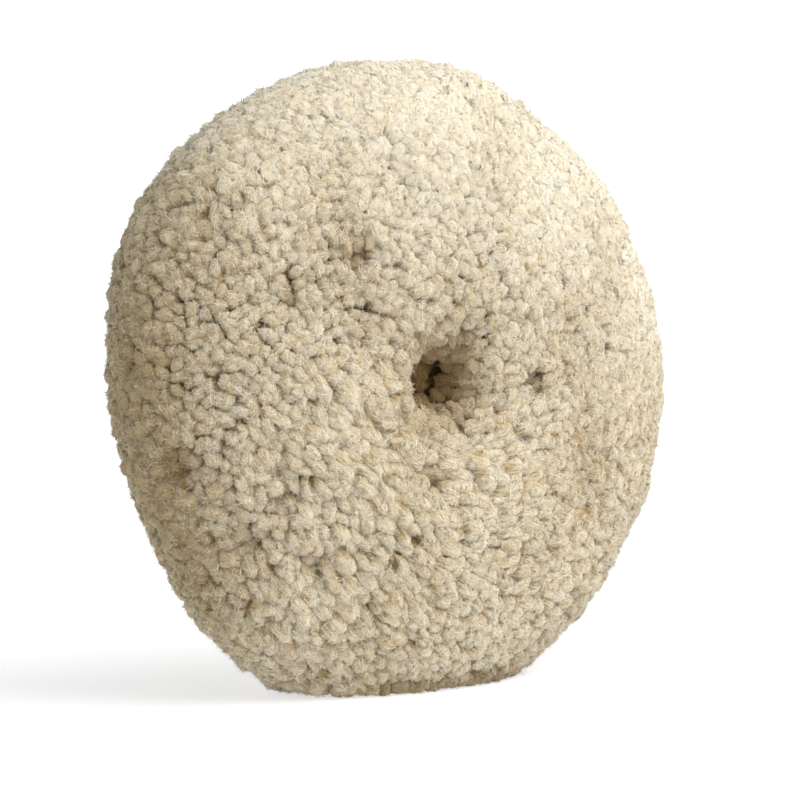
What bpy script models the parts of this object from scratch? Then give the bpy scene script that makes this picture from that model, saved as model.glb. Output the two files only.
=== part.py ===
"""Double-sided tufted wool polishing pad, standing on its rim.

Metres, +Z up. The pad turns about an axis along Y, and its front face looks along -Y. The origin is
under the middle of the pad, on the surface that it stands on.

Every turned piece is drawn as a profile of (radius, depth) points, where depth is measured along the
axis from the pad's mid-plane. The back pieces are drawn at positive depth, and the front ones are the
same pieces turned half a turn about Z.
"""

import math

import bmesh
import bpy

# Gap kept between pieces that touch.
CLEARANCE = 0.0003

# The wool as a whole.
PAD_DIAMETER = 0.229
PILE_HEIGHT = 0.0275
RIM_PILE_HEIGHT = 0.0265
RIM_FLAT_DEPTH = 0.0075
FORM_ROUNDNESS = 2.4
DIMPLE_DEPTH = 0.007
DIMPLE_RADIUS = 0.022

# The layers between the two piles, from the mid-plane outwards.
FELT_THICKNESS = 0.003
STIFFENER_THICKNESS = 0.0012
LATEX_THICKNESS = 0.0008
CLOTH_THICKNESS = 0.001
CLOTH_CORNER_RADIUS = 0.003
STIFFENER_EDGE_GAP = 0.002

# The seams.
TAPE_THICKNESS = 0.0006
THREAD_DIAMETER = 0.0008
RIM_STITCHES = 48
HUB_STITCHES = 24
HUB_STITCH_SWAY = 0.0003
HUB_THREAD_MARGIN = 0.0006

# The hub.
BORE_DIAMETER = 0.016
SLEEVE_WALL = 0.003
PLATE_THICKNESS = 0.0012
PLATE_MARGIN = 0.001
SEAT_HEIGHT = 0.002
EDGE_CHAMFER = 0.0003
RIVETS = 6
RIVET_SHANK_DIAMETER = 0.0032
RIVET_HEAD_DIAMETER = 0.006
RIVET_HEAD_HEIGHT = 0.0011
RIVET_SEAT_GAP = 0.0005

# The recess in the wool over the hub.
RECESS_LIP_GAP = 0.0005
RECESS_BASE_MARGIN = 0.0006

# Fineness of the round shapes.
ROUND_SEGMENTS = 48
HUB_SEGMENTS = 36
RIVET_SEGMENTS = 10
FORM_STEPS = 9
CORNER_STEPS = 2
WALL_STEPS = 3
SHARP_ANGLE = math.radians(35)

# Depths of the layers' outer faces.
FELT_FACE = FELT_THICKNESS / 2
STIFFENER_FACE = FELT_FACE + CLEARANCE + STIFFENER_THICKNESS
LATEX_FACE = STIFFENER_FACE + CLEARANCE + LATEX_THICKNESS
CLOTH_FACE = LATEX_FACE + CLEARANCE + CLOTH_THICKNESS
PILE_BASE = CLOTH_FACE + CLEARANCE
PILE_TOP = PILE_BASE + PILE_HEIGHT
MID_GAP = CLEARANCE / 2

# Radii of the wool and the layers.
PAD_RADIUS = PAD_DIAMETER / 2
CLOTH_RADIUS = PAD_RADIUS - RIM_PILE_HEIGHT
LATEX_RADIUS = CLOTH_RADIUS - CLOTH_THICKNESS - CLEARANCE
LATEX_CORNER_RADIUS = CLOTH_CORNER_RADIUS - CLOTH_THICKNESS - CLEARANCE
STIFFENER_RADIUS = LATEX_RADIUS - LATEX_THICKNESS - STIFFENER_EDGE_GAP
RIM_WALL_TOP = CLOTH_FACE - CLOTH_CORNER_RADIUS
TAPE_INNER_RADIUS = CLOTH_RADIUS + CLEARANCE
TAPE_RADIUS = TAPE_INNER_RADIUS + TAPE_THICKNESS
TAPE_EDGE = RIM_WALL_TOP - CLEARANCE
RIM_THREAD_RADIUS = TAPE_RADIUS + CLEARANCE + THREAD_DIAMETER / 2
CAVITY_RADIUS = RIM_THREAD_RADIUS + THREAD_DIAMETER / 2 + CLEARANCE

# Radii and depths of the hub, from the bore outwards.
BORE_RADIUS = BORE_DIAMETER / 2
SLEEVE_RADIUS = BORE_RADIUS + SLEEVE_WALL
LAYER_HOLE_RADIUS = SLEEVE_RADIUS + CLEARANCE
SEAT_RADIUS = LAYER_HOLE_RADIUS + PLATE_THICKNESS
RIVET_CIRCLE_RADIUS = SEAT_RADIUS + RIVET_SEAT_GAP + RIVET_HEAD_DIAMETER / 2
PLATE_RADIUS = RIVET_CIRCLE_RADIUS + RIVET_HEAD_DIAMETER / 2 + PLATE_MARGIN
PLATE_FACE = PILE_BASE + PLATE_THICKNESS
SEAT_FACE = PLATE_FACE + SEAT_HEIGHT
SLEEVE_END = SEAT_FACE - PLATE_THICKNESS - CLEARANCE
HUB_THREAD_RADIUS = PLATE_RADIUS + HUB_THREAD_MARGIN + HUB_STITCH_SWAY + THREAD_DIAMETER / 2

# The recess: its lip at the wool's tips, and its base on the cloth.
RECESS_LIP_RADIUS = SEAT_RADIUS + RECESS_LIP_GAP
RECESS_BASE_RADIUS = HUB_THREAD_RADIUS + HUB_STITCH_SWAY + THREAD_DIAMETER / 2 + RECESS_BASE_MARGIN

HUB_HEIGHT = PAD_RADIUS - RIM_FLAT_DEPTH
TURNED_TO_FRONT = math.pi


def clear_scene():
    for old in list(bpy.data.objects):
        bpy.data.objects.remove(old, do_unlink=True)


def material(name, colour, roughness, metallic=0.0):
    """A Principled material, made once for each name."""
    made = bpy.data.materials.get(name)
    if made:
        return made
    made = bpy.data.materials.new(name)
    made.use_nodes = True
    shader = made.node_tree.nodes["Principled BSDF"]
    shader.inputs["Base Color"].default_value = (*colour, 1.0)
    shader.inputs["Roughness"].default_value = roughness
    shader.inputs["Metallic"].default_value = metallic
    made.diffuse_color = (*colour, 1.0)
    return made


def wool():
    return material("wool", (0.66, 0.58, 0.42), 0.95)


def cloth():
    return material("tufting_cloth", (0.55, 0.50, 0.40), 0.9)


def latex():
    return material("latex", (0.72, 0.66, 0.50), 0.6)


def stiffener_plastic():
    return material("stiffener_plastic", (0.12, 0.12, 0.13), 0.5)


def felt():
    return material("felt", (0.35, 0.34, 0.32), 0.95)


def tape():
    return material("tape", (0.62, 0.57, 0.46), 0.85)


def thread():
    return material("thread", (0.75, 0.70, 0.58), 0.7)


def hub_plastic():
    return material("hub_plastic", (0.04, 0.04, 0.045), 0.45)


def plate_steel():
    return material("plate_steel", (0.56, 0.56, 0.55), 0.35, 1.0)


def rivet_steel():
    return material("rivet_steel", (0.62, 0.61, 0.59), 0.3, 1.0)


def arc(centre, radius, start, end, steps):
    """Points of a circular arc in the profile plane, both ends included, with angles from +radius."""
    angles = [start + (end - start) * step / steps for step in range(steps + 1)]
    return [(centre[0] + radius * math.cos(a), centre[1] + radius * math.sin(a)) for a in angles]


def turned_mesh(name, profile, segments):
    """A closed profile of (radius, depth) points, turned about Y.

    The profile runs anticlockwise, with radius to the right and depth up. A point at radius 0 becomes
    one vertex, and the step between two of them makes no face.
    """
    mesh = bpy.data.meshes.new(name)
    work = bmesh.new()
    rings = []
    for radius, depth in profile:
        if radius == 0:
            rings.append([work.verts.new((0, depth, 0))] * segments)
            continue
        angles = [2 * math.pi * turn / segments for turn in range(segments)]
        rings.append([work.verts.new((radius * math.cos(a), depth, radius * math.sin(a))) for a in angles])
    for here, there in zip(rings, rings[1:] + rings[:1]):
        for turn in range(segments):
            after = (turn + 1) % segments
            corners = [here[turn], there[turn], there[after], here[after]]
            face = list(dict.fromkeys(corners))
            if len(face) > 2:
                work.faces.new(face)
    work.to_mesh(mesh)
    work.free()
    return mesh


def place(name, data, finish, front=False):
    """An object centred on the hub's axis, turned to the front face where that is asked for."""
    made = bpy.data.objects.new(name, data)
    bpy.context.scene.collection.objects.link(made)
    made.location = (0, 0, HUB_HEIGHT)
    made.rotation_euler = (0, 0, TURNED_TO_FRONT if front else 0)
    data.materials.clear()
    data.materials.append(finish)
    return made


def turned(name, profile, finish, front=False, segments=ROUND_SEGMENTS):
    mesh = turned_mesh(name, profile, segments)
    mesh.shade_smooth()
    mesh.set_sharp_from_angle(angle=SHARP_ANGLE)
    return place(name, mesh, finish, front)


def cut(target, cutter):
    modifier = target.modifiers.new(cutter.name, "BOOLEAN")
    modifier.operation = "DIFFERENCE"
    modifier.solver = "EXACT"
    modifier.object = cutter


def as_cutter(made):
    made.hide_render = True
    made.display_type = "WIRE"
    return made


def rivet_places():
    """(x, z) of each rivet from the hub's axis, the first one half a pitch from +X."""
    angles = [2 * math.pi * (number + 0.5) / RIVETS for number in range(RIVETS)]
    return [(RIVET_CIRCLE_RADIUS * math.cos(a), RIVET_CIRCLE_RADIUS * math.sin(a)) for a in angles]


def rivet_hole_cutter():
    """One cylinder for each rivet, through the plates and every layer between them."""
    radius = RIVET_SHANK_DIAMETER / 2 + CLEARANCE
    depth = SEAT_FACE
    profile = [(0, -depth), (radius, -depth), (radius, depth), (0, depth)]
    mesh = bpy.data.meshes.new("rivet_hole_cutter")
    work = bmesh.new()
    for x, z in rivet_places():
        single = turned_mesh("rivet_hole", profile, RIVET_SEGMENTS)
        before = len(work.verts)
        work.from_mesh(single)
        work.verts.ensure_lookup_table()
        bmesh.ops.translate(work, verts=work.verts[before:], vec=(x, 0, z))
        bpy.data.meshes.remove(single)
    work.to_mesh(mesh)
    work.free()
    return as_cutter(place("rivet_hole_cutter", mesh, hub_plastic()))


def floor_cutter():
    """The block under the floor, which flattens the rim of both piles."""
    width, depth = PAD_DIAMETER, 4 * PILE_TOP
    mesh = bpy.data.meshes.new("floor_cutter")
    work = bmesh.new()
    bmesh.ops.create_cube(work, size=1.0)
    bmesh.ops.scale(work, verts=work.verts, vec=(width, depth, PAD_RADIUS))
    bmesh.ops.translate(work, verts=work.verts, vec=(0, 0, -HUB_HEIGHT - PAD_RADIUS / 2))
    work.to_mesh(mesh)
    work.free()
    return as_cutter(place("floor_cutter", mesh, hub_plastic()))


def form_depth(radius):
    """Depth of the wool's tips at this radius: a pillow form with a dimple round the recess."""
    share = min(radius / PAD_RADIUS, 1.0)
    crown = PILE_TOP * (1 - share**FORM_ROUNDNESS) ** (1 / FORM_ROUNDNESS)
    return crown - DIMPLE_DEPTH * math.exp(-((radius / DIMPLE_RADIUS) ** 2))


def form_points():
    """The wool's outer form, from the mid-plane at the rim to the recess's lip."""
    power = 2 / FORM_ROUNDNESS
    last = math.acos((RECESS_LIP_RADIUS / PAD_RADIUS) ** (1 / power))
    points = [(PAD_RADIUS, MID_GAP)]
    for step in range(1, FORM_STEPS + 1):
        radius = PAD_RADIUS * math.cos(last * step / FORM_STEPS) ** power
        points.append((radius, form_depth(radius)))
    return points


def recess_wall_points():
    """The recess's wall below its lip: it widens towards the hub, where the wool leans over it."""
    lip_depth = form_depth(RECESS_LIP_RADIUS)
    points = []
    for step in range(1, WALL_STEPS + 1):
        share = step / WALL_STEPS
        radius = RECESS_LIP_RADIUS + (RECESS_BASE_RADIUS - RECESS_LIP_RADIUS) * share**1.5
        points.append((radius, lip_depth + (PILE_BASE - lip_depth) * share))
    return points


def cavity_points():
    """The pile's inner side, from the recess's base out over the cloth and down past the rim seam."""
    centre = (CLOTH_RADIUS - CLOTH_CORNER_RADIUS, RIM_WALL_TOP)
    corner = arc(centre, CLOTH_CORNER_RADIUS + CLEARANCE, math.pi / 2, 0, CORNER_STEPS)
    return corner + [(CAVITY_RADIUS, RIM_WALL_TOP), (CAVITY_RADIUS, MID_GAP)]


def wool_pile(name, front, floor):
    profile = form_points() + recess_wall_points() + cavity_points()
    cut(turned(name, profile, wool(), front), floor)


def dish_profile(radius, face, corner, thickness):
    """A disc with the layers' hole in it and its rim turned to the mid-plane round a corner."""
    centre = (radius - corner, face - corner)
    outer = arc(centre, corner, 0, math.pi / 2, CORNER_STEPS)
    inner = arc(centre, corner - thickness, math.pi / 2, 0, CORNER_STEPS)
    start = [(radius, MID_GAP)]
    hole = [(LAYER_HOLE_RADIUS, face), (LAYER_HOLE_RADIUS, face - thickness)]
    return start + outer + hole + inner + [(radius - thickness, MID_GAP)]


def tufting_cloth(name, front, rivet_holes):
    profile = dish_profile(CLOTH_RADIUS, CLOTH_FACE, CLOTH_CORNER_RADIUS, CLOTH_THICKNESS)
    cut(turned(name, profile, cloth(), front), rivet_holes)


def latex_coat(name, front, rivet_holes):
    profile = dish_profile(LATEX_RADIUS, LATEX_FACE, LATEX_CORNER_RADIUS, LATEX_THICKNESS)
    cut(turned(name, profile, latex(), front), rivet_holes)


def disc_profile(radius, hole_radius, near, far):
    return [(hole_radius, near), (radius, near), (radius, far), (hole_radius, far)]


def stiffener_disc(name, front, rivet_holes):
    near = STIFFENER_FACE - STIFFENER_THICKNESS
    profile = disc_profile(STIFFENER_RADIUS, LAYER_HOLE_RADIUS, near, STIFFENER_FACE)
    cut(turned(name, profile, stiffener_plastic(), front), rivet_holes)


def felt_core(rivet_holes):
    profile = disc_profile(STIFFENER_RADIUS, LAYER_HOLE_RADIUS, -FELT_FACE, FELT_FACE)
    cut(turned("felt_core", profile, felt()), rivet_holes)


def rim_binding():
    turned("rim_binding", disc_profile(TAPE_RADIUS, TAPE_INNER_RADIUS, -TAPE_EDGE, TAPE_EDGE), tape())


def thread_ring(name, points, front=False):
    """A closed strand of thread through these points."""
    curve = bpy.data.curves.new(name, "CURVE")
    curve.dimensions = "3D"
    curve.bevel_depth = THREAD_DIAMETER / 2
    curve.bevel_resolution = 0
    spline = curve.splines.new("POLY")
    spline.points.add(len(points) - 1)
    for point, place_of in zip(spline.points, points):
        point.co = (*place_of, 1.0)
    spline.use_cyclic_u = True
    place(name, curve, thread(), front)


def rim_seam_thread():
    """A zigzag stitch across the joint of the two cloths, over the tape."""
    count = 2 * RIM_STITCHES
    reach = TAPE_EDGE - THREAD_DIAMETER / 2
    points = []
    for number in range(count):
        angle = 2 * math.pi * number / count
        side = reach if number % 2 else -reach
        points.append((RIM_THREAD_RADIUS * math.cos(angle), side, RIM_THREAD_RADIUS * math.sin(angle)))
    thread_ring("rim_seam_thread", points)


def hub_thread(name, front):
    """The stitched circle just outside the hub's plate, on the cloth."""
    count = 2 * HUB_STITCHES
    depth = PILE_BASE + THREAD_DIAMETER / 2
    points = []
    for number in range(count):
        angle = 2 * math.pi * number / count
        radius = HUB_THREAD_RADIUS + (HUB_STITCH_SWAY if number % 2 else -HUB_STITCH_SWAY)
        points.append((radius * math.cos(angle), depth, radius * math.sin(angle)))
    thread_ring(name, points, front)


def hub_sleeve():
    edge = EDGE_CHAMFER
    profile = [
        (BORE_RADIUS, -SLEEVE_END),
        (SLEEVE_RADIUS - edge, -SLEEVE_END),
        (SLEEVE_RADIUS, -SLEEVE_END + edge),
        (SLEEVE_RADIUS, SLEEVE_END - edge),
        (SLEEVE_RADIUS - edge, SLEEVE_END),
        (BORE_RADIUS, SLEEVE_END),
    ]
    turned("hub_sleeve", profile, hub_plastic(), segments=HUB_SEGMENTS)


def hub_plate(name, front, rivet_holes):
    """A pressed plate: a flat rivet ring, and a raised seat round the bore over the sleeve's end."""
    edge = EDGE_CHAMFER
    seat_under = SEAT_FACE - PLATE_THICKNESS
    profile = [
        (LAYER_HOLE_RADIUS, PILE_BASE),
        (PLATE_RADIUS, PILE_BASE),
        (PLATE_RADIUS, PLATE_FACE - edge),
        (PLATE_RADIUS - edge, PLATE_FACE),
        (SEAT_RADIUS, PLATE_FACE),
        (SEAT_RADIUS, SEAT_FACE - edge),
        (SEAT_RADIUS - edge, SEAT_FACE),
        (BORE_RADIUS, SEAT_FACE),
        (BORE_RADIUS, seat_under),
        (LAYER_HOLE_RADIUS, seat_under),
    ]
    cut(turned(name, profile, plate_steel(), front, HUB_SEGMENTS), rivet_holes)


def rivet_profile():
    """A rivet with a domed head at both ends, clear of the plates by the usual gap."""
    shank = RIVET_SHANK_DIAMETER / 2
    head = RIVET_HEAD_DIAMETER / 2
    under = PLATE_FACE + CLEARANCE
    crown = under + RIVET_HEAD_HEIGHT
    shoulder = (head, under + RIVET_HEAD_HEIGHT / 3)
    dome = (head / 2, crown - RIVET_HEAD_HEIGHT / 6)
    half = [(shank, under), (head, under), shoulder, dome, (0, crown)]
    return [(radius, -depth) for radius, depth in reversed(half)] + half


def hub_rivets():
    for number, (x, z) in enumerate(rivet_places(), start=1):
        rivet = turned(f"hub_rivet_{number}", rivet_profile(), rivet_steel(), segments=RIVET_SEGMENTS)
        rivet.location = (x, 0, HUB_HEIGHT + z)


def build():
    clear_scene()
    floor = floor_cutter()
    rivet_holes = rivet_hole_cutter()
    for side, front in (("front", True), ("back", False)):
        wool_pile(f"{side}_wool_pile", front, floor)
        tufting_cloth(f"{side}_tufting_cloth", front, rivet_holes)
        latex_coat(f"{side}_latex_coat", front, rivet_holes)
        stiffener_disc(f"{side}_stiffener_disc", front, rivet_holes)
        hub_thread(f"{side}_hub_thread", front)
        hub_plate(f"{side}_hub_plate", front, rivet_holes)
    felt_core(rivet_holes)
    rim_binding()
    rim_seam_thread()
    hub_sleeve()
    hub_rivets()


build()
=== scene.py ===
"""Looks of the double-sided wool polishing pad: its yarn tufts, the cloth and hub behind them, and
a plain studio round it.

Tufts are drawn in a face frame, (x, depth, z) from the middle of the pad, where depth is the distance
out from the mid-plane. The front and back faces are then placed by place_on_side.
"""

import math

import bpy
import numpy as np
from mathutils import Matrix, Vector


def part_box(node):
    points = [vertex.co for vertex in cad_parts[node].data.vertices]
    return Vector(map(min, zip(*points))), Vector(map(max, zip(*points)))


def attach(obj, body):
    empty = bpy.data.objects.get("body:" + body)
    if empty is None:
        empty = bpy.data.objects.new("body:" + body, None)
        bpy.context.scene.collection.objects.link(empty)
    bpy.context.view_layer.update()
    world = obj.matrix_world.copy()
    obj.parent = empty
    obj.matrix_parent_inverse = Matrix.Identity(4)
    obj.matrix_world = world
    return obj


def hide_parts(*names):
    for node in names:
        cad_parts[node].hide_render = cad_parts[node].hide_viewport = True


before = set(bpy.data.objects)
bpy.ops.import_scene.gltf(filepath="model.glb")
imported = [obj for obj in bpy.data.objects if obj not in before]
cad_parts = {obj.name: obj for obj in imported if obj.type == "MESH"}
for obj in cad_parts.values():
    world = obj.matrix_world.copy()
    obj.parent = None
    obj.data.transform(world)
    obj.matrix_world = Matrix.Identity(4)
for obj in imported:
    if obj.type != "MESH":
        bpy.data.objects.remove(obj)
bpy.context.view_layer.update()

# ---------------------------------------------------------------- sizes from the frame
PILE_LOW, PILE_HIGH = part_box("front_wool_pile")
CLOTH_LOW, CLOTH_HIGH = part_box("front_tufting_cloth")
HUB_LOW, HUB_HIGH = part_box("hub_sleeve")
PAD_RADIUS = (PILE_HIGH.x - PILE_LOW.x) / 2
CLOTH_RADIUS = (CLOTH_HIGH.x - CLOTH_LOW.x) / 2
CLOTH_FACE = -CLOTH_LOW.y
HUB_HEIGHT = (HUB_LOW.z + HUB_HIGH.z) / 2

# The form that the tufts' ends follow: a pillow with a dimple round the hub, and a funnel in the dimple.
FORM_TOP = 0.0332
FORM_ROUNDNESS = 2.4
DIMPLE_DEPTH = 0.0055
DIMPLE_RADIUS = 0.022
FUNNEL_DEPTH = 0.0135
FUNNEL_RADIUS = 0.0080
LIP_RADIUS = 0.0014
# How far the wool round the funnel is pushed over, from this reach inwards, and the back's share of it.
FUNNEL_SHIFT = np.array([-0.0070, 0, -0.0020])
SHIFT_REACH, BACK_SHIFT = 0.026, 0.3
# The tufting cloth: the radius of its turned-down corner, and where its innermost tufts stand.
CLOTH_CORNER = 0.003
ROOT_RADIUS = 0.0245
# A tuft's end is this far inside the form. In the funnel, this share of that and of its unevenness is lost.
TIP_INSET, FUNNEL_EVENNESS = 0.0030, 0.8
# Lumps of the pile: their height and length, and how unevenly long its tufts are.
LUMP_HEIGHT, LUMP_LENGTH, UNEVEN_TIPS = 0.0008, 0.045, 0.0005

# ---------------------------------------------------------------- sizes of the yarn
# Tufts stand this far apart, and up to this share of it out of place. Their radius varies by these shares.
TUFT_PITCH = 0.0043
TUFT_SCATTER = 0.3
TUFT_RADIUS = 0.0027
TUFT_SIZES = (0.80, 1.16)
# What a tuft's size starts from, and what being matted and being lofty add to it.
SIZE_BARE, SIZE_MATTED, SIZE_LOFTY = 0.90, 0.32, 0.18
SIDES = 13
# Along a tuft, from its root: the distance back from its tip, and its width there, both in tuft radii.
BACK = np.array([99.0, 6.0, 3.2, 1.9, 1.15, 0.62, 0.26, 0.05])
WIDTH = np.array([0.80, 0.95, 0.97, 1.0, 1.0, 0.90, 0.68, 0.36])
# The least share of a tuft's length between two stations, so that a short tuft's rings stay apart.
STATION_GAP = 0.004
# Stations nearer a tuft's end than this, in tuft radii, move up to this share nearer on matted yarn.
BLUNT_WITHIN, BLUNTNESS = 2, 0.20
# How long a tuft's bends are at its root and its end, as shares of its length, and how far it strays.
BEND_AT_ROOT, BEND_AT_TIP, WOBBLE = 0.35, 0.42, 0.0010
# The section of the yarn: its plies, their depth and twist, and how uneven and how oval it is.
PLIES = 4
PLY_DEPTH, PLY_TWIST = 0.10, 0.9
UNEVENNESS, OVALNESS = 0.12, 0.16
# How far the apex on a tuft's end stands out from its last ring, in tuft radii.
APEX = 0.06
SECTORS = 8

# Loose fibres: how many stand on a tuft, the share on each station, and their width, which varies by
# these shares. Their lengths are a gamma distribution, cut off at both ends, and longer on matted yarn.
FIBRES = 200
FIBRE_SHARES = np.array([0, 0.02, 0.08, 0.24, 0.28, 0.18, 0.12, 0.08])
FIBRE_WIDTH = 0.00013
FIBRE_WIDTHS = (0.7, 1.3)
FIBRE_LENGTH_SHAPE, FIBRE_LENGTH_SCALE = 6.0, 0.00034
FIBRE_LENGTHS = (0.0008, 0.0045)
FIBRE_MATTED = 0.1
# How steeply they stand on a tuft's sides and on its end, how much that varies, how far they follow the
# yarn, and the station where the end starts.
STEEP_ON_SIDE, STEEP_ON_END, STEEP_SPREAD, FOLLOW = 0.40, 0.05, 0.30, 0.15
END_STATION = 5
# A fibre's foot is this share of its length back from its place on the yarn, and this far off the yarn.
FOOT_BEHIND, FOOT_HEIGHT = 0.3, 0.00008

# ---------------------------------------------------------------- tones, painted light and painted shade
# The height attribute, which paints shade into the yarn's colour, brown down the yarn between the tufts:
# a tuft's end, what a fibre's corners add to it, where the painted shade is darkest, in tuft radii from
# the end, and how far lofty yarn gets less of it.
SKIN_HEIGHT = 0.75
BLADE_HEIGHT = np.array([0.10, 0.10, 0.25])
DEEPEST = 6.0
LOFTY_DEPTH = 0.80
# The tone attribute: how it varies by the tuft, over the pad in waves of this length, and by the fibre,
# and what it gains where the yarn is unmatted, loses on the left as painted shade and gains as painted
# light where the yarn is lofty.
TONE_OF_TUFT, TONE_OVER_PAD, TONE_LENGTH, TONE_OF_FIBRE = 0.3, 0.6, 0.05, 1.5
TONE_UNMATTED, LEFT_SHADE, LOFTY_LIGHT = 0.9, 3.4, 0.2
# Painted shade: at the hole and its reach, and a painted contact shadow at the foot and its height.
SHADE_AT_HOLE, HOLE_SHADE_REACH = 1.1, 0.0150
SHADOW_AT_FOOT, FOOT_SHADOW_HEIGHT = 0.8, 0.0035
# Where the yarn is matted: x, z and reach round the hub, and on the right, at the top and on the rim a
# place and the width it sets in over. The same for where it is lofty and gets painted light, up and to
# the right, and for where the far left gets painted shade.
MATTED_MIDDLE = (0.005, -0.005, 0.055)
MATTED_RIGHT, MATTED_TOP, MATTED_RIM = (0.015, 0.02), (0.055, 0.015), (0.011, 0.003)
MATTED_LEAST, MATTED_MORE = 0.15, 0.8
LOFTY_RIGHT, LOFTY_UP, LOFTY_FROM = 0.35, 0.93, (0.050, 0.014)
DARK_LEFT = (-0.080, 0.010)
# How far the yarn is shaded as one fleece and not tuft by tuft: at least, and more where it is matted.
FLEECE, FLEECE_MATTED = 0.56, 0.24
# How far a combed tuft is drawn out along the way it lies, from this lean on, up to so much more.
DRAWN_OUT, DRAWN_FROM, DRAWN_MOST = 0.9, 0.15, 1.1
# Each tuft's cell of the bake's map: the share its skin takes, and the columns of fibres above that.
SKIN_SHARE = 0.72
FIBRE_COLUMNS = 40
# The empty share round each cell, the one between a skin and its fibres, and the size of a root's cap.
CELL_INSET, FIBRE_MARGIN, CAP_SHARE = 0.06, 0.04, 0.02

# ---------------------------------------------------------------- how the pile lies
# What is pressed on the floor softens over this height and keeps this gap. It spreads by these shares of
# how far it is pressed, across the pad and along it, and in full from these distances from the middle.
FLOOR_SOFTNESS = 0.0012
FLOOR_GAP = 0.0001
SPREAD_ACROSS, ACROSS_FROM = 0.85, 0.012
SPREAD_ALONG, ALONG_FROM = 0.35, 0.03

# Places where the pile has parted or lost yarn: x, z from the hub, reach and depth, in metres.
FRONT_PITS = (
    (-0.036, 0.040, 0.0045, 0.0075),
    (-0.008, -0.034, 0.0045, 0.0060),
    (0.034, -0.001, 0.0050, 0.0060),
    (-0.095, -0.030, 0.0060, 0.0050),
    (-0.027, -0.018, 0.0070, 0.0035),
    (0.006, 0.013, 0.0045, 0.0050),
    (-0.030, 0.018, 0.0150, 0.0035),
    (0.060, -0.082, 0.0050, 0.0035),
    (-0.072, -0.055, 0.0060, 0.0045),
    (-0.052, -0.062, 0.0050, 0.0045),
    (-0.062, 0.025, 0.0050, 0.0045),
    (-0.0650, -0.023, 0.0035, 0.0045),
    (-0.0645, -0.031, 0.0035, 0.0050),
    (-0.0640, -0.040, 0.0035, 0.0050),
)
BACK_PITS = ((0.030, 0.035, 0.005, 0.007), (-0.045, -0.020, 0.006, 0.006), (0.010, -0.060, 0.005, 0.006))
# The depth at which a parted place gets its full painted shade, and how far it is pushed open, in reaches.
DEEP_PIT, PIT_OPENING = 0.0075, 0.4
# Where the pile is combed over: x, z from the hub, reach, and how far to the right and up.
FRONT_COMBED = (
    (-0.020, -0.055, 0.040, 1.00, -0.75),
    (0.035, -0.060, 0.045, 1.05, 0.05),
    (-0.035, -0.005, 0.028, 0.60, -0.60),
    (-0.045, -0.085, 0.030, 0.50, -0.90),
    (0.030, 0.065, 0.055, 0.60, 0.20),
    (0.085, 0.000, 0.040, 0.20, -0.60),
)
BACK_COMBED = ((0.020, -0.050, 0.050, -0.90, -0.90), (-0.030, 0.050, 0.050, 0.70, 0.40))
# How far every tuft leans at random, and how far it leans in swirls of this length.
LOOSE_LEAN, SWIRL_LEAN, SWIRL_LENGTH = 0.22, 0.3, 0.07
# How far a leaning tuft's end moves over, at least and at random, and how far it turns to its lean.
OVER_LEAST, OVER_MORE, END_LEAN = 0.0012, 0.0030, 0.75
# How far a tuft that is combed over its neighbours rises, against one that lies under them.
OVERLAP, OVERLAP_MIDDLE, COMBED_MOST = 0.0014, 0.6, 1.6
# Where the outline of the pile is pushed in or, below zero, fuller: x, z from the hub, reach and depth.
DENTS = (
    (-0.106, -0.030, 0.030, 0.0025),
    (-0.095, 0.055, 0.034, -0.0045),
    (-0.062, -0.094, 0.034, -0.0036),
    (0.055, 0.098, 0.035, 0.0020),
    (0.098, 0.045, 0.020, 0.0015),
    (0.0, -0.110, 0.055, -0.0065),
)
# What the random numbers of each face start from.
FRONT_SEED, BACK_SEED = 11, 47

# ---------------------------------------------------------------- sizes of the studio
# The floor's grey and its glow. The world is pale up to one upward slope, and dark from another on: the
# slope and the grey of each.
FLOOR_GREY, FLOOR_GLOW = 0.36, 0.63
HORIZON, OVERHEAD = (0.22, 0.72), (0.45, 0.04)
# The camera, and how far to the left of the hub and below it the camera aims.
CAMERA_AZIMUTH, CAMERA_ELEVATION = math.radians(-32), math.radians(-1)
CAMERA_DISTANCE = 5 * PAD_RADIUS
LENS, SENSOR = 73.0, 36.0
AIM_LEFT, AIM_DOWN = 0.0035, 0.0074


def unit(vectors):
    """These vectors at length 1."""
    return vectors / np.maximum(np.linalg.norm(vectors, axis=-1, keepdims=True), 1e-12)


# ---------------------------------------------------------------- the pile's form
def form_profile(points=900):
    """(radius, depth) along the tips' form, from inside the funnel over the hub to the middle of the rim."""
    power = 2 / FORM_ROUNDNESS
    first = math.acos((LIP_RADIUS / PAD_RADIUS) ** (1 / power))
    angle = np.linspace(first, 0, points)
    radius = PAD_RADIUS * np.cos(angle) ** power
    crown = FORM_TOP * np.sin(angle) ** power
    dimple = DIMPLE_DEPTH * np.exp(-((radius / DIMPLE_RADIUS) ** 2))
    funnel = FUNNEL_DEPTH * np.exp(-((radius / FUNNEL_RADIUS) ** 3))
    return radius, crown - dimple - funnel


def cloth_profile(points=200):
    """(radius, depth) along the tufting cloth, from the recess out and round its corner to the rim."""
    flat = np.linspace(ROOT_RADIUS, CLOTH_RADIUS - CLOTH_CORNER, points)
    turn = np.linspace(0, math.pi / 2, points // 8)[1:]
    wall = np.linspace(CLOTH_FACE - CLOTH_CORNER, 0, points // 16)[1:]
    radius = np.concatenate([flat, flat[-1] + CLOTH_CORNER * np.sin(turn), np.full(len(wall), CLOTH_RADIUS)])
    corner = CLOTH_FACE - CLOTH_CORNER * (1 - np.cos(turn))
    return radius, np.concatenate([np.full(points, CLOTH_FACE), corner, wall])


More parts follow.
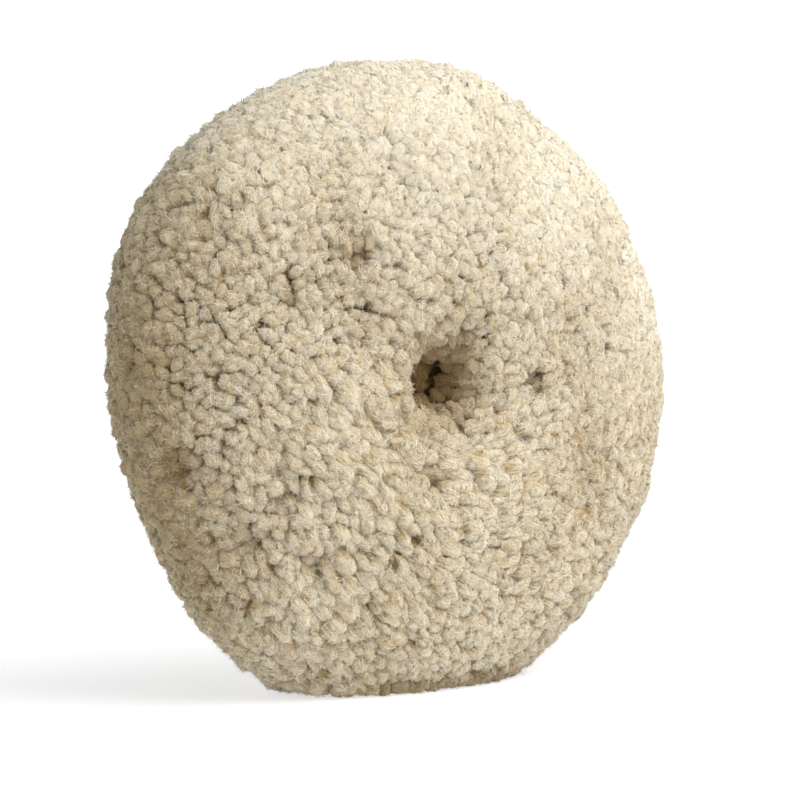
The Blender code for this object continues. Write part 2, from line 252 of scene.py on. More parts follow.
class Turned:
    """A turned surface, read by the share of its area that lies inside a point."""

    def __init__(self, radius, depth):
        along_radius, along_depth = np.gradient(radius), np.gradient(depth)
        step = np.hypot(along_radius, along_depth)
        area = np.cumsum(2 * math.pi * radius * step)
        self.area = area[-1]
        self.share = area / self.area
        self.columns = (radius, depth, -along_depth / step, along_radius / step)

    def at(self, share, angle):
        """Points and outward normals at these shares and angles."""
        radius, depth, out, up = (np.interp(share, self.share, column) for column in self.columns)
        cosine, sine = np.cos(angle), np.sin(angle)
        points = np.stack([radius * cosine, depth, radius * sine], -1)
        return points, unit(np.stack([out * cosine, up, out * sine], -1))


# ---------------------------------------------------------------- how the tufts lie
def waves(points, seed, length):
    """A smooth random number at each point, about -1 to 1, that changes over this length."""
    sines, shortest, longest, usual_sum = 6, 0.7, 1.6, 2.4
    rng = np.random.default_rng(seed)
    total = np.zeros(len(points))
    for _ in range(sines):
        direction = unit(rng.normal(size=3)) * 2 * math.pi / (length * rng.uniform(shortest, longest))
        total += np.sin(points @ direction + rng.uniform(0, 2 * math.pi))
    return total / usual_sum


def patch(points, x, z, reach):
    """1 at the middle of a round patch of the face, falling smoothly to 0."""
    return np.exp(-((points[:, 0] - x) ** 2 + (points[:, 2] - z) ** 2) / reach**2)


def rising(values, middle, width):
    """0 well below the middle and 1 well above it, changing smoothly over about this width."""
    return 1 / (1 + np.exp(-(values - middle) / width))


def falling(values, middle, width):
    """1 well below the middle and 0 well above it."""
    return rising(-values, -middle, width)


def combing(points, seed, front):
    """How far, and which way, each tuft is combed over: a vector along x and z."""
    rng = np.random.default_rng(seed)
    loose = rng.normal(size=(len(points), 2)) * LOOSE_LEAN
    swirl = np.stack([waves(points, seed + turn, SWIRL_LENGTH) for turn in (1, 2)], -1) * SWIRL_LEAN
    lean = loose + swirl
    for x, z, reach, right, up in FRONT_COMBED if front else BACK_COMBED:
        lean += patch(points, x, z, reach)[:, None] * np.array([right, up])
    return np.stack([lean[:, 0], np.zeros(len(points)), lean[:, 1]], -1)


def matting(points):
    """How far each tuft's end has spread into its neighbours, from 0 to 1: least on the left."""
    middle = patch(points, *MATTED_MIDDLE)
    right = rising(points[:, 0], *MATTED_RIGHT)
    top = rising(points[:, 2], *MATTED_TOP)
    rim = falling(points[:, 1], *MATTED_RIM)
    return (MATTED_LEAST + MATTED_MORE * np.maximum.reduce([middle, right, top, rim])).clip(0, 1)


def loft(points):
    """Where the yarn stands full, towards the top and the right, and where it gets painted light."""
    return rising(LOFTY_RIGHT * points[:, 0] + LOFTY_UP * points[:, 2], *LOFTY_FROM)


def shading(points, matted, lofty_and_lit):
    """How much lighter each tuft is, or below zero darker: painted shade on the far left, where it isn't
    full.
    """
    left = falling(points[:, 0], *DARK_LEFT)
    # Painted light where the yarn is full, towards the top and the right; unmatted yarn is lighter too.
    return TONE_UNMATTED * (1 - matted) - LEFT_SHADE * left * (1 - lofty_and_lit) + LOFTY_LIGHT * lofty_and_lit


def press_on_floor(points, radius):
    """Bends what would be under the floor over onto it, and spreads it out to the sides."""
    height = points[..., 2] + HUB_HEIGHT - radius
    lifted = FLOOR_SOFTNESS * np.logaddexp(0, height / FLOOR_SOFTNESS)
    pressed = lifted - height
    points[..., 2] += pressed
    points[..., 1] += SPREAD_ACROSS * pressed * np.clip(points[..., 1] / ACROSS_FROM, -1, 1)
    points[..., 0] += SPREAD_ALONG * pressed * np.clip(points[..., 0] / ALONG_FROM, -1, 1)
    return points


def scattered(form, rng):
    """Each tuft's share of the form's area and its angle, on a loosened sunflower spiral."""
    count = int(form.area / (TUFT_PITCH**2 * math.sqrt(3) / 2))
    golden = math.pi * (3 - math.sqrt(5))
    share = (np.arange(count) + 0.5) / count
    angle = np.arange(count) * golden
    radius = np.interp(share, form.share, form.columns[0])
    around = TUFT_PITCH * 2 * math.pi * radius
    share = share + rng.uniform(-TUFT_SCATTER, TUFT_SCATTER, count) * around / form.area
    angle = angle + rng.uniform(-TUFT_SCATTER, TUFT_SCATTER, count) * TUFT_PITCH / radius
    return share.clip(TUFT_SCATTER / count, 1), angle


def tips(form, share, angle, seed, front, rng):
    """The tufts' ends on the lumpy, dented form, and the form's normal at each."""
    tip, normal = form.at(share, angle)
    lumps = LUMP_HEIGHT * waves(tip, seed + 5, LUMP_LENGTH)
    rise = lumps + rng.normal(size=len(tip)) * UNEVEN_TIPS - TIP_INSET
    rise *= 1 - FUNNEL_EVENNESS * patch(tip, 0, 0, FUNNEL_RADIUS)
    for x, z, reach, depth in DENTS:
        rise -= depth * patch(tip, x if front else -x, z, reach)
    tip += normal * rise[:, None]
    tip += FUNNEL_SHIFT * (1 if front else BACK_SHIFT) * patch(tip, 0, 0, SHIFT_REACH)[:, None]
    return tip, normal


def open_pits_and_shade(tip, normal, front):
    """Opens the parted places of the pile, in tip itself, and gives each tuft's painted shade, 0 to about 1.
    """
    hole = 0.5 * FUNNEL_SHIFT[[0, 2]] if front else (0, 0)
    # Painted shade in the funnel over the hub, where the wool sinks in.
    painted_shade = SHADE_AT_HOLE * patch(tip, *hole, HOLE_SHADE_REACH)
    for x, z, reach, depth in FRONT_PITS if front else BACK_PITS:
        near = patch(tip, x, z, reach)
        away = unit(tip - np.array([x, 0, z])) * np.array([1, 0, 1])
        tip += near[:, None] * (away * reach * PIT_OPENING - normal * depth)
        # Painted shade in a parted place, darker the deeper it is.
        painted_shade = np.maximum(painted_shade, near * (depth / DEEP_PIT) ** 2)
    # A painted contact shadow on the yarn just above the floor, fading over this height.
    low = np.maximum(tip[:, 2] + HUB_HEIGHT, 0)
    return np.maximum(painted_shade, SHADOW_AT_FOOT * np.exp(-low / FOOT_SHADOW_HEIGHT))


def comb_over(tip, normal, seed, front, rng):
    """Moves the tufts' ends over, in tip itself, as the pile is combed, and gives how each tuft leans."""
    lean = combing(tip, seed + 10, front)
    lean -= normal * (lean * normal).sum(-1, keepdims=True)
    over = rng.uniform(0, 1, (len(tip), 1))
    combed = np.linalg.norm(lean, axis=-1, keepdims=True).clip(0, COMBED_MOST)
    tip += lean * (OVER_LEAST + OVER_MORE * over) + normal * combed * (over - OVERLAP_MIDDLE) * OVERLAP
    return lean


def centrelines(root, upright, tip, ahead, size, matted, rng):
    """Each tuft's stations, on a curve that leaves the cloth upright and ends the way the tuft lies."""
    reach = np.linalg.norm(tip - root, axis=-1, keepdims=True)
    bend = (root, root + upright * reach * BEND_AT_ROOT, tip - ahead * reach * BEND_AT_TIP, tip)
    blunt = np.where(BACK < BLUNT_WITHIN, 1 - BLUNTNESS * matted[:, None], 1)
    t = (1 - BACK * blunt * size[:, None] / reach).clip(0, 1)
    t = np.maximum(t, STATION_GAP * np.arange(len(BACK)))[..., None]
    weights = ((1 - t) ** 3, 3 * t * (1 - t) ** 2, 3 * t**2 * (1 - t), t**3)
    line = sum(w * p[:, None, :] for w, p in zip(weights, bend))
    wobble = rng.normal(size=(len(tip), 1, 3)) * np.sin(math.pi * t) * WOBBLE
    return press_on_floor(line + wobble, size[:, None])


def tufts(seed, front):
    """Every tuft of one face: its stations, size, painted light and shade, and how it lies."""
    rng = np.random.default_rng(seed)
    form, cloth = Turned(*form_profile()), Turned(*cloth_profile())
    share, angle = scattered(form, rng)
    tip, normal = tips(form, share, angle, seed, front, rng)
    root, upright = cloth.at(share, angle)
    painted_shade = open_pits_and_shade(tip, normal, front)
    lean = comb_over(tip, normal, seed, front, rng)
    ahead = unit(normal + END_LEAN * lean)
    whole = tip * np.array([1 if front else -1, 1, 1])
    matted, lofty_and_lit = matting(whole), loft(whole)
    fullness = SIZE_BARE + SIZE_MATTED * matted + SIZE_LOFTY * lofty_and_lit
    size = TUFT_RADIUS * rng.uniform(*TUFT_SIZES, len(tip)) * fullness
    line = centrelines(root, upright, tip, ahead, size, matted, rng)
    # Tone: random by the tuft and in waves over the pad, plus painted shade far left and painted light top
    # right.
    own_tone = rng.normal(size=len(tip)) * TONE_OF_TUFT
    return {
        "line": line,
        "size": size,
        "tone_and_painted_light": own_tone + TONE_OVER_PAD * waves(tip, seed + 20, TONE_LENGTH) + shading(whole, matted, lofty_and_lit),
        "facing": normal,
        "lean": lean,
        "lofty_and_lit": lofty_and_lit,
        "painted_shade": painted_shade,
        "matted": matted,
        "angle": np.arctan2(tip[:, 2], tip[:, 0]),
    }


# ---------------------------------------------------------------- tufts to meshes
def frames(line):
    """Two directions across each centreline, at each of its stations."""
    ahead = unit(np.gradient(line, axis=1))
    mean = unit(ahead.mean(1))
    spare = np.where(np.abs(mean[:, :1]) < 0.7, np.array([[1.0, 0, 0]]), np.array([[0, 0, 1.0]]))
    across = unit(np.cross(ahead, unit(np.cross(mean, spare))[:, None, :]))
    return ahead, across, np.cross(ahead, across)


def tuft_skins(line, size, lean, rng):
    """Each tuft's skin, ring by ring, the apex on its end, its normals and the way the yarn runs."""
    count, stations = line.shape[:2]
    ahead, across, over = frames(line)
    turn = 2 * math.pi * np.arange(SIDES) / SIDES
    start = rng.uniform(0, 2 * math.pi, (count, 1, 1))
    twist = PLIES * (turn[None, None, :] + start) + PLY_TWIST * BACK[None, :, None]
    ply = 1 + PLY_DEPTH * np.cos(twist)
    uneven = 1 + rng.normal(size=(count, stations, SIDES)) * UNEVENNESS
    oval = 1 + OVALNESS * np.cos(2 * (turn + rng.uniform(0, 2 * math.pi, (count, 1)))[:, None, :])
    width = size[:, None] * WIDTH
    out = np.cos(turn)[:, None] * across[:, :, None, :] + np.sin(turn)[:, None] * over[:, :, None, :]
    leaning = (np.linalg.norm(lean, axis=-1) - DRAWN_FROM).clip(0, DRAWN_MOST)
    drawn = DRAWN_OUT * leaning[:, None, None, None]
    lie = unit(lean)[:, None, None, :]
    stretched = out + drawn * (out * lie).sum(-1, keepdims=True) * lie
    skin = line[:, :, None, :] + (width[..., None] * ply * uneven * oval)[..., None] * stretched
    apex = line[:, -1, :] + ahead[:, -1, :] * size[:, None] * APEX
    step = np.linalg.norm(np.gradient(line, axis=1), axis=-1)[..., None, None]
    taper = np.gradient(width, axis=1)[..., None, None]
    normal = out * step - ahead[:, :, None, :] * taper
    normal = unit(normal - drawn / (1 + drawn) * (normal * lie).sum(-1, keepdims=True) * lie)
    return skin, apex, normal, ahead


def skin_faces(count, stations):
    """Quads between stations, then the apex's triangles, then the root's cap, for this many tufts."""
    per_tuft = stations * SIDES + 1
    ring, side = np.meshgrid(np.arange(stations - 1), np.arange(SIDES), indexing="ij")
    after = (side + 1) % SIDES
    here, above = ring * SIDES, (ring + 1) * SIDES
    quads = np.stack([here + side, above + side, above + after, here + after], -1).reshape(-1, 4)
    last = (stations - 1) * SIDES
    sides = np.arange(SIDES)
    fan = np.stack([last + sides, np.full(SIDES, stations * SIDES), last + (sides + 1) % SIDES], -1)
    base = np.arange(count)[:, None, None] * per_tuft
    return (quads[None] + base).reshape(-1, 4), (fan[None] + base).reshape(-1, 3), sides[None] + base[:, 0]


def fibres(skin, normal, ahead, matted, rng):
    """Loose fibres, a thin blade each: the ring and side it stands on, and its three corners."""
    count = len(skin)
    station = rng.choice(len(BACK), (count, FIBRES), p=FIBRE_SHARES)
    side = rng.integers(0, SIDES, (count, FIBRES))
    tuft = np.arange(count)[:, None]
    out, along = normal[tuft, station, side], ahead[tuft, station]
    stray = unit(rng.normal(size=(count, FIBRES, 3)))
    flat = unit(np.cross(out, stray))
    steep = np.where(station < END_STATION, STEEP_ON_SIDE, STEEP_ON_END)[..., None]
    lift = rng.normal(size=(count, FIBRES, 1)) * STEEP_SPREAD + steep
    direction = unit(flat + lift * out + FOLLOW * along)
    length = rng.gamma(FIBRE_LENGTH_SHAPE, FIBRE_LENGTH_SCALE, (count, FIBRES, 1)).clip(*FIBRE_LENGTHS)
    length = length * (1 + FIBRE_MATTED * matted[:, None, None])
    width = FIBRE_WIDTH * rng.uniform(*FIBRE_WIDTHS, (count, FIBRES, 1)) * unit(np.cross(direction, out))
    foot = skin[tuft, station, side] - flat * FOOT_BEHIND * length + out * FOOT_HEIGHT
    return station, side, np.stack([foot + width, foot - width, foot + direction * length], 2)


def place_on_side(points, front):
    """From the face frame to the row's frame."""
    points = points.reshape(-1, 3)
    sign = 1.0 if front else -1.0
    height = np.maximum(points[:, 2] + HUB_HEIGHT, FLOOR_GAP)
    return np.stack([points[:, 0] * sign, -points[:, 1] * sign, height], -1)


def turned_to_side(vectors, front):
    """Directions from the face frame to the row's frame."""
    return vectors * (np.array([1.0, -1.0, 1.0]) if front else np.array([-1.0, 1.0, 1.0]))


def cell_uv(count, along, around):
    """Places on the bake's map: each tuft has a cell of its own in a square grid."""
    grid = math.ceil(math.sqrt(count))
    number = np.arange(count).reshape(-1, *[1] * (along.ndim - 1))
    u = (number % grid + CELL_INSET + (1 - 2 * CELL_INSET) * around) / grid
    v = (number // grid + CELL_INSET + (1 - 2 * CELL_INSET) * along) / grid
    return np.stack(np.broadcast_arrays(u, v), -1)


def pile_normals(normal, ahead, station, side, facing, fleece):
    """Shading normals of the skins and then the fibres, turned towards the pile's own form."""
    count = len(normal)
    tuft = np.arange(count)[:, None]
    skin = np.concatenate([normal.reshape(count, -1, 3), ahead[:, -1:]], 1)
    skin = unit(skin * (1 - fleece) + facing * fleece)
    blade = unit(normal[tuft, station, side] * (1 - fleece) + facing * fleece)
    return np.concatenate([skin.reshape(-1, 3), np.repeat(blade.reshape(-1, 3), 3, 0)])


def pile_heights(lofty_and_lit, station):
    """The height attribute of the skins' points and then the fibres': painted shade down the yarn."""
    count = len(lofty_and_lit)
    # Painted shade: deeper down a tuft is darker, down to the deepest station, and less where the yarn is
    # lofty.
    sunk = BACK.clip(0, DEEPEST) / DEEPEST * (1 - LOFTY_DEPTH * lofty_and_lit[:, None])
    ring = SKIN_HEIGHT * (1 - sunk)
    skin = np.concatenate([np.repeat(ring, SIDES, 1), np.full((count, 1), SKIN_HEIGHT)], 1)
    blade = ring[np.arange(count)[:, None], station][..., None] + BLADE_HEIGHT
    return np.concatenate([skin.ravel(), blade.ravel()])


def pile_faces(count, stations, per_skin):
    """The corners of the skins' faces and then the fibres', and how many each face has."""
    quads, fan, caps = skin_faces(count, stations)
    blades = count * per_skin + np.arange(count * FIBRES * 3)
    corners = np.concatenate([quads.ravel(), fan.ravel(), caps.ravel(), blades])
    widths = ((4, len(quads)), (3, len(fan)), (SIDES, len(caps)), (3, count * FIBRES))
    return corners, np.concatenate([np.full(number, width) for width, number in widths])


def pile_piece(name, field, chosen, front, seed):
    """One mesh that holds the chosen tufts and their loose fibres."""
    rng = np.random.default_rng(seed)
    some = {key: values[chosen] for key, values in field.items()}
    tone_and_painted_light, painted_shade, lofty_and_lit, matted = (some[key] for key in ("tone_and_painted_light", "painted_shade", "lofty_and_lit", "matted"))
    skin, apex, normal, ahead = tuft_skins(some["line"], some["size"], some["lean"], rng)
    station, side, blades = fibres(skin, normal, ahead, matted, rng)
    count, stations = skin.shape[:2]
    per_skin = stations * SIDES + 1
    skin_points = np.concatenate([skin.reshape(count, -1, 3), apex[:, None, :]], 1)
    points = np.concatenate([skin_points.reshape(-1, 3), blades.reshape(-1, 3)])

    fleece = (FLEECE + FLEECE_MATTED * matted)[:, None, None]
    normals = pile_normals(normal, ahead, station, side, some["facing"][:, None, :], fleece)
    blade_tone = tone_and_painted_light[:, None] + rng.normal(size=(count, FIBRES)) * TONE_OF_FIBRE
    # These attributes carry painted shade down the yarn between the tufts, painted shade on the far left,
    # painted light towards the top right, painted shade in the funnel and the parted places, and a painted
    # contact shadow at the foot, besides each tuft's own random tone.
    attributes = {
        "height": pile_heights(lofty_and_lit, station),
        "tone_and_painted_light": np.concatenate([np.repeat(tone_and_painted_light, per_skin), np.repeat(blade_tone, 3)]),
        "painted_shade": np.concatenate([np.repeat(painted_shade, per_skin), np.repeat(painted_shade, FIBRES * 3)]),
        "lofty_and_lit": np.concatenate([np.repeat(lofty_and_lit, per_skin), np.repeat(lofty_and_lit, FIBRES * 3)]),
    }

    corners, counts = pile_faces(count, stations, per_skin)
    along = np.linspace(0, SKIN_SHARE, stations + 1)
    uv = np.concatenate([*skin_uv(count, stations, along), fibre_uv(count)])
    placed, turned = place_on_side(points, front), turned_to_side(normals, front)
    made = mesh_object(name, placed, turned, corners, counts, uv)
    for label, values in attributes.items():
        layer = made.data.attributes.new(label, "FLOAT", "POINT")
        layer.data.foreach_set("value", values.astype(np.float32))
    return made


def skin_uv(count, stations, along):
    """Map places of the corners of skin_faces, in the same order."""
    ring, side = np.meshgrid(np.arange(stations - 1), np.arange(SIDES), indexing="ij")
    ring, side = ring.ravel(), side.ravel()
    v = np.stack([along[ring], along[ring + 1], along[ring + 1], along[ring]], -1)
    u = np.stack([side, side, side + 1, side + 1], -1) / SIDES
    quad = cell_uv(count, np.tile(v.ravel(), (count, 1)), u.ravel()[None])
    sides = np.arange(SIDES)
    u = np.stack([sides, sides + 0.5, sides + 1], -1) / SIDES
    v = np.tile([along[-2], along[-1], along[-2]], (SIDES, 1))
    fan = cell_uv(count, np.tile(v.ravel(), (count, 1)), u.ravel()[None])
    turn = 2 * math.pi * sides / SIDES
    v = CAP_SHARE + CAP_SHARE * np.cos(turn)
    cap = cell_uv(count, np.tile(v, (count, 1)), (0.5 + CAP_SHARE * np.sin(turn))[None])
    return quad.reshape(-1, 2), fan.reshape(-1, 2), cap.reshape(-1, 2)


def fibre_uv(count):
    """Map places of the fibres' corners: rows of small triangles above each tuft's skin."""
    number = np.arange(FIBRES)[:, None]
    rows = math.ceil(FIBRES / FIBRE_COLUMNS)
    around = (number % FIBRE_COLUMNS + np.array([0.1, 0.9, 0.5])) / FIBRE_COLUMNS
    upward = (number // FIBRE_COLUMNS + np.array([0.1, 0.1, 0.9])) / rows
    along = SKIN_SHARE + FIBRE_MARGIN + (1 - FIBRE_MARGIN - SKIN_SHARE) * upward
    return cell_uv(count, np.tile(along.ravel(), (count, 1)), around.ravel()[None]).reshape(-1, 2)


def mesh_object(name, points, normals, corners, counts, uv):
    """A smooth mesh from flat lists of corners, with its shading normals and the bake's map."""
    mesh = bpy.data.meshes.new(name)
    mesh.vertices.add(len(points))
    mesh.vertices.foreach_set("co", points.astype(np.float32).ravel())
    mesh.loops.add(len(corners))
    mesh.loops.foreach_set("vertex_index", corners.astype(np.int32))
    mesh.polygons.add(len(counts))
    starts = np.concatenate([[0], np.cumsum(counts)[:-1]])
    mesh.polygons.foreach_set("loop_start", starts.astype(np.int32))
    layer = mesh.uv_layers.new(name="OFBake")
    mesh.update(calc_edges=True)
    layer.uv.foreach_set("vector", uv.astype(np.float32).ravel())
    mesh.shade_smooth()
    shading_normal = mesh.attributes.new("custom_normal", "FLOAT_VECTOR", "POINT")
    shading_normal.data.foreach_set("vector", normals.astype(np.float32).ravel())
    mesh.update()
    made = bpy.data.objects.new(name, mesh)
    bpy.context.scene.collection.objects.link(made)
    return made


def wool_pile(side, seed, finish):
    """One face's pile, in sectors round the hub."""
    front = side == "front"
    field = tufts(seed, front)
    sector = ((field["angle"] / (2 * math.pi) % 1) * SECTORS).astype(int) % SECTORS
    for number in range(SECTORS):
        chosen = np.flatnonzero(sector == number)
        piece = pile_piece(f"{side}_wool_sector_{number + 1}", field, chosen, front, seed + 100 + number)
        piece.data.materials.append(finish)
        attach(piece, "root")
        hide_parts(f"{side}_wool_pile")


# ---------------------------------------------------------------- materials
def new_material(name, roughness, metallic=0.0):
    """A material with a Principled shader, its node tree and that shader."""
    made = bpy.data.materials.new(name)
    made.use_nodes = True
    shader = made.node_tree.nodes["Principled BSDF"]
    shader.inputs["Roughness"].default_value = roughness
    shader.inputs["Metallic"].default_value = metallic
    return made, made.node_tree, shader


def node(tree, kind, **settings):
    """A new node with these settings."""
    made = tree.nodes.new(kind)
    for key, value in settings.items():
        setattr(made, key, value)
    return made


def ramp(tree, factor, stops):
    """Colours by a factor, through these (place, colour) stops."""
    made = node(tree, "ShaderNodeValToRGB")
    while len(made.color_ramp.elements) < len(stops):
        made.color_ramp.elements.new(0.5)
    for element, (place, colour) in zip(made.color_ramp.elements, stops):
        element.position = place
        element.color = (*colour, 1.0)
    tree.links.new(factor, made.inputs["Fac"])
    return made.outputs["Color"]


def noise(tree, scale, detail=3.0, roughness=0.5, swirl=0.0):
    """Noise in the row's frame, at this many waves per metre."""
    place = node(tree, "ShaderNodeTexCoord")
    made = node(tree, "ShaderNodeTexNoise")
    made.inputs["Scale"].default_value = scale
    made.inputs["Detail"].default_value = detail
    made.inputs["Roughness"].default_value = roughness
    made.inputs["Distortion"].default_value = swirl
    tree.links.new(place.outputs["Object"], made.inputs["Vector"])
    return made.outputs["Fac"]


def strands(tree, across, along):
    """Noise drawn out along each tuft's yarn, in waves per unit of the bake's map."""
    place = node(tree, "ShaderNodeUVMap", uv_map="OFBake")
    stretch = node(tree, "ShaderNodeMapping")
    stretch.inputs["Scale"].default_value = (across, along, 1.0)
    tree.links.new(place.outputs["UV"], stretch.inputs["Vector"])
    made = node(tree, "ShaderNodeTexNoise")
    made.inputs["Scale"].default_value = 1.0
    made.inputs["Detail"].default_value = 3.0
    made.inputs["Roughness"].default_value = 0.65
    tree.links.new(stretch.outputs["Vector"], made.inputs["Vector"])
    return made.outputs["Fac"]


def rough_by(tree, shader, pattern, least, most):
    """Roughness that follows a pattern, between these two."""
    made = node(tree, "ShaderNodeMapRange")
    made.inputs["To Min"].default_value = least
    made.inputs["To Max"].default_value = most
    tree.links.new(pattern, made.inputs["Value"])
    tree.links.new(made.outputs["Result"], shader.inputs["Roughness"])


def scaled(tree, value, by, plus):
    """A value times one number, plus another."""
    made = node(tree, "ShaderNodeMath", operation="MULTIPLY_ADD")
    tree.links.new(value, made.inputs[0])
    made.inputs[1].default_value = by
    made.inputs[2].default_value = plus
    return made.outputs[0]


def multiplied(tree, factor, first, second):
    """A colour times another, as far as the factor says."""
    made = node(tree, "ShaderNodeMix", data_type="RGBA", blend_type="MULTIPLY")
    for socket, value in ((made.inputs[0], factor), (made.inputs[6], first), (made.inputs[7], second)):
        if isinstance(value, bpy.types.NodeSocket):
            tree.links.new(value, socket)
        else:
            socket.default_value = value if isinstance(value, float) else (*value, 1.0)
    return made.outputs[2]


def bump(tree, shader, height, strength, distance):
    """Bump that follows a pattern, this many metres deep at full strength."""
    made = node(tree, "ShaderNodeBump")
    made.inputs["Strength"].default_value = strength
    made.inputs["Distance"].default_value = distance
    tree.links.new(height, made.inputs["Height"])
    tree.links.new(made.outputs["Normal"], shader.inputs["Normal"])


def attribute(tree, name):
    """A number that the mesh holds at each of its points."""
    return node(tree, "ShaderNodeAttribute", attribute_name=name).outputs["Fac"]


WHITE = (1.0, 1.0, 1.0)
OFF_WHITE = (0.93, 0.91, 0.86)


def yarn_colour_and_shade(tree):
    """Cream tips, with painted shade brown down the yarn between the tufts, each tuft lighter or darker."""
    # Painted shade down the yarn: from cream at a tuft's end to brown at its root, by the height attribute.
    depth = [
        (0.0, (0.32, 0.22, 0.11)),
        (0.35, (0.50, 0.38, 0.22)),
        (0.55, (0.68, 0.58, 0.41)),
        (0.72, (0.81, 0.75, 0.60)),
        (0.90, (0.96, 0.94, 0.885)),
    ]
    yarn = ramp(tree, attribute(tree, "height"), depth)
    # Each tuft's tone, which also holds painted shade on the far left and painted light at the top right.
    tone_and_painted_light = scaled(tree, attribute(tree, "tone_and_painted_light"), 0.16, 0.5)
    toned = ramp(tree, tone_and_painted_light, [(0.0, (0.58, 0.50, 0.36)), (0.5, OFF_WHITE), (0.9, WHITE)])
    return multiplied(tree, 1.0, yarn, toned)


def stained(tree, colour):
    """Warm stains, strongest between the tufts and weak on their ends."""
    stain = ramp(tree, noise(tree, 190.0, 4.0, 0.65), [(0.36, (0.84, 0.67, 0.43)), (0.48, WHITE)])
    between = ramp(tree, attribute(tree, "height"), [(0.55, WHITE), (0.85, (0.15, 0.15, 0.15))])
    return multiplied(tree, between, colour, stain)


def grained(tree, colour, felt):
    """Felted grain and strands along the yarn, faint where it stands full, and then painted shade."""
    factor = scaled(tree, attribute(tree, "lofty_and_lit"), -0.80, 1.0)
    matted = ramp(tree, felt, [(0.36, (0.62, 0.52, 0.38)), (0.47, OFF_WHITE), (0.57, WHITE)])
    colour = multiplied(tree, factor, colour, matted)
    drawn = ramp(tree, strands(tree, 680.0, 80.0), [(0.36, (0.64, 0.56, 0.43)), (0.53, WHITE)])
    colour = multiplied(tree, factor, colour, drawn)
    # Painted shade in the funnel and the parted places, and a painted contact shadow at the foot: brown.
    return multiplied(tree, attribute(tree, "painted_shade"), colour, (0.44, 0.34, 0.20))


def wool_material():
    """Undyed wool: cream at the tips, with painted shade darker and warmer down the yarn, matt with a soft
    sheen.
    """
    made, tree, shader = new_material("wool_yarn", 0.9)
    colour = yarn_colour_and_shade(tree)
    felt = noise(tree, 1000.0, 5.0, 0.7, 2.0)
    colour = grained(tree, stained(tree, colour), felt)
    tree.links.new(colour, shader.inputs["Base Color"])
    shader.inputs["Sheen Weight"].default_value = 0.25
    shader.inputs["Sheen Roughness"].default_value = 0.5
    shader.inputs["Sheen Tint"].default_value = (1.0, 0.96, 0.86, 1.0)
    shader.inputs["Specular IOR Level"].default_value = 0.15
    rough_by(tree, shader, felt, 0.80, 1.0)
    bump(tree, shader, felt, 0.5, 0.0006)
    return made


def plain_material(name, dark, light, scale, roughness, metallic=0.0, height=0.0002):
    """Grain between two colours, at this many waves per metre, which roughness and bump follow."""
    made, tree, shader = new_material(name, roughness, metallic)
    grain = noise(tree, scale, 4.0, 0.6)
    tree.links.new(ramp(tree, grain, [(0.3, dark), (0.7, light)]), shader.inputs["Base Color"])
    rough_by(tree, shader, grain, roughness - 0.1, min(roughness + 0.1, 1.0))
    bump(tree, shader, grain, 0.4, height)
    return made


def dress(node_name, finish):
    """Gives a CAD node this material."""
    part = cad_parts[node_name]
    part.data.materials.clear()
    part.data.materials.append(finish)
    part.material_slots[0].material = finish


def dress_frame():
    """Materials for the CAD nodes behind the wool."""
    cloth = plain_material("tufting_cloth", (0.34, 0.28, 0.19), (0.55, 0.48, 0.35), 900.0, 0.95)
    latex = plain_material("latex", (0.55, 0.47, 0.30), (0.72, 0.64, 0.46), 200.0, 0.6)
    plastic = plain_material("stiffener_plastic", (0.10, 0.10, 0.11), (0.16, 0.16, 0.17), 300.0, 0.5)
    felt = plain_material("felt", (0.24, 0.23, 0.21), (0.42, 0.41, 0.38), 1200.0, 0.95)
    tape = plain_material("tape", (0.50, 0.45, 0.34), (0.68, 0.62, 0.50), 1500.0, 0.9)
    thread = plain_material("thread", (0.60, 0.54, 0.42), (0.82, 0.77, 0.65), 2500.0, 0.8)
    nylon = plain_material("hub_plastic", (0.018, 0.017, 0.015), (0.045, 0.042, 0.038), 500.0, 0.6)
    steel = plain_material("plate_steel", (0.38, 0.37, 0.35), (0.60, 0.59, 0.57), 400.0, 0.38, 1.0, 0.00005)
    rivet = plain_material("rivet_steel", (0.45, 0.44, 0.42), (0.66, 0.65, 0.62), 700.0, 0.32, 1.0, 0.00005)
    for side in ("front", "back"):
        dress(f"{side}_tufting_cloth", cloth)
        dress(f"{side}_latex_coat", latex)
        dress(f"{side}_stiffener_disc", plastic)
        dress(f"{side}_hub_thread", thread)
        dress(f"{side}_hub_plate", steel)
    dress("felt_core", felt)
    dress("rim_binding", tape)
    dress("rim_seam_thread", thread)
    dress("hub_sleeve", nylon)
    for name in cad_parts:
        if name.startswith("hub_rivet_"):
            dress(name, rivet)


# ---------------------------------------------------------------- studio
def floor_and_backdrop():
    """One pale sheet: the floor, curved up into a backdrop far behind the pad."""
    half, front, back, bend, rise = 3.0, 3.0, 1.8, 0.9, 3.0
    angles = np.linspace(0, math.pi / 2, 17)
    curve = [(-front, 0.0)] + [(back + bend * math.sin(a), bend * (1 - math.cos(a))) for a in angles]
    curve.append((back + bend, rise))
    points = [(x, y, z) for y, z in curve for x in (-half, half)]
    faces = [(2 * i, 2 * i + 1, 2 * i + 3, 2 * i + 2) for i in range(len(curve) - 1)]
    mesh = bpy.data.meshes.new("studio_floor")
    mesh.from_pydata(points, [], faces)
    mesh.shade_smooth()
    made = bpy.data.objects.new("studio_floor", mesh)
    bpy.context.scene.collection.objects.link(made)
    finish, _, shader = new_material("studio_floor", 0.9)
    shader.inputs["Base Color"].default_value = (FLOOR_GREY, FLOOR_GREY, FLOOR_GREY, 1.0)
    shader.inputs["Emission Color"].default_value = (*WHITE, 1.0)
    shader.inputs["Emission Strength"].default_value = FLOOR_GLOW
    mesh.materials.append(finish)


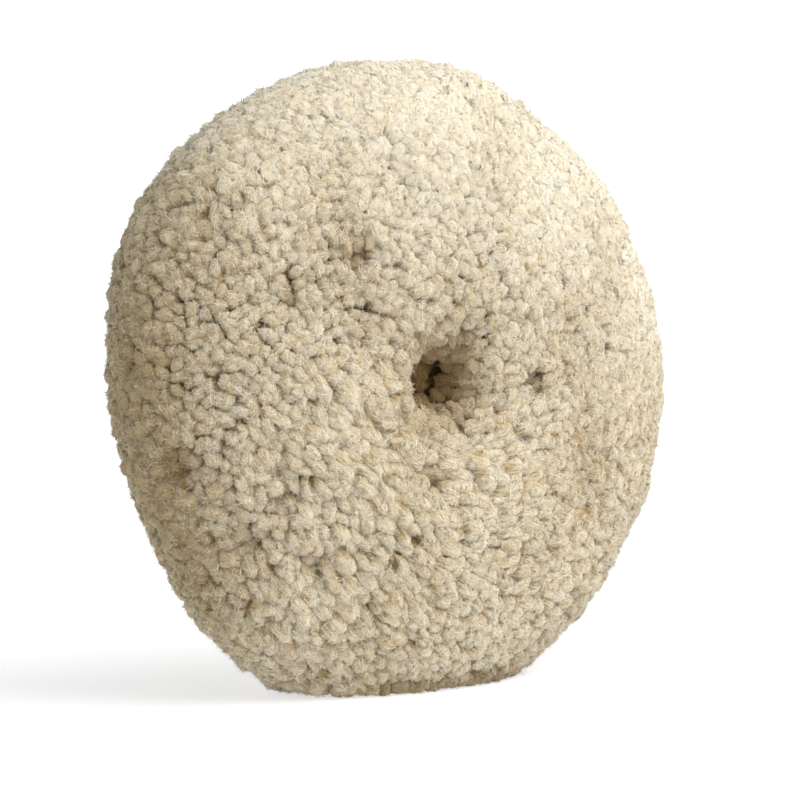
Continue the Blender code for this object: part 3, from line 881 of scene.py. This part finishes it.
def sun(name, place, power, colour, softness):
    """A sun that shines from this place towards the hub, this many degrees across."""
    target = (0, 0, HUB_HEIGHT)
    data = bpy.data.lights.new(name, "SUN")
    data.energy = power
    data.color = colour
    data.angle = math.radians(softness)
    made = bpy.data.objects.new(name, data)
    bpy.context.scene.collection.objects.link(made)
    made.location = place
    made.rotation_euler = (Vector(target) - Vector(place)).to_track_quat("-Z", "Y").to_euler()


def lights():
    """A soft key from the upper right, a second from above, and a weak cool one behind on the left."""
    sun("key", (0.70, -0.78, 1.20), power=3.15, colour=(1.0, 0.99, 0.98), softness=50)
    sun("above", (0.15, -0.50, 1.15), power=1.3, colour=(0.97, 0.985, 1.0), softness=70)
    sun("rim", (-1.0, 0.55, 0.25), power=0.9, colour=(0.72, 0.85, 1.0), softness=60)


def surroundings():
    """A pale band round the horizon, as of a white room, that fades out above."""
    world = bpy.data.worlds.new("studio")
    bpy.context.scene.world = world
    world.use_nodes = True
    tree = world.node_tree
    way = node(tree, "ShaderNodeSeparateXYZ")
    tree.links.new(node(tree, "ShaderNodeTexCoord").outputs["Generated"], way.inputs[0])
    stops = [(height, (grey, grey, grey)) for height, grey in (HORIZON, OVERHEAD)]
    band = ramp(tree, way.outputs["Z"], stops)
    tree.links.new(band, tree.nodes["Background"].inputs["Color"])
    tree.nodes["Background"].inputs["Strength"].default_value = 1.0


def camera():
    """Round to the pad's left, a little below the hub, and aimed to centre the pad."""
    data = bpy.data.cameras.new("camera")
    made = bpy.data.objects.new("camera", data)
    bpy.context.scene.collection.objects.link(made)
    data.sensor_width = SENSOR
    data.lens = LENS
    level = math.cos(CAMERA_ELEVATION)
    back = Vector(
        (math.sin(CAMERA_AZIMUTH) * level, -math.cos(CAMERA_AZIMUTH) * level, math.sin(CAMERA_ELEVATION))
    )
    right = Vector((math.cos(CAMERA_AZIMUTH), math.sin(CAMERA_AZIMUTH), 0))
    target = Vector((0, 0, HUB_HEIGHT))
    made.location = target + back * CAMERA_DISTANCE
    aim = target - right * AIM_LEFT - Vector((0, 0, AIM_DOWN))
    made.rotation_euler = (aim - made.location).to_track_quat("-Z", "Y").to_euler()
    data.clip_start, data.clip_end = 0.05, 20.0
    bpy.context.scene.camera = made


camera()
wool = wool_material()
wool_pile("front", FRONT_SEED, wool)
wool_pile("back", BACK_SEED, wool)
dress_frame()
floor_and_backdrop()
lights()
surroundings()
bpy.context.scene.view_settings.view_transform = "Standard"
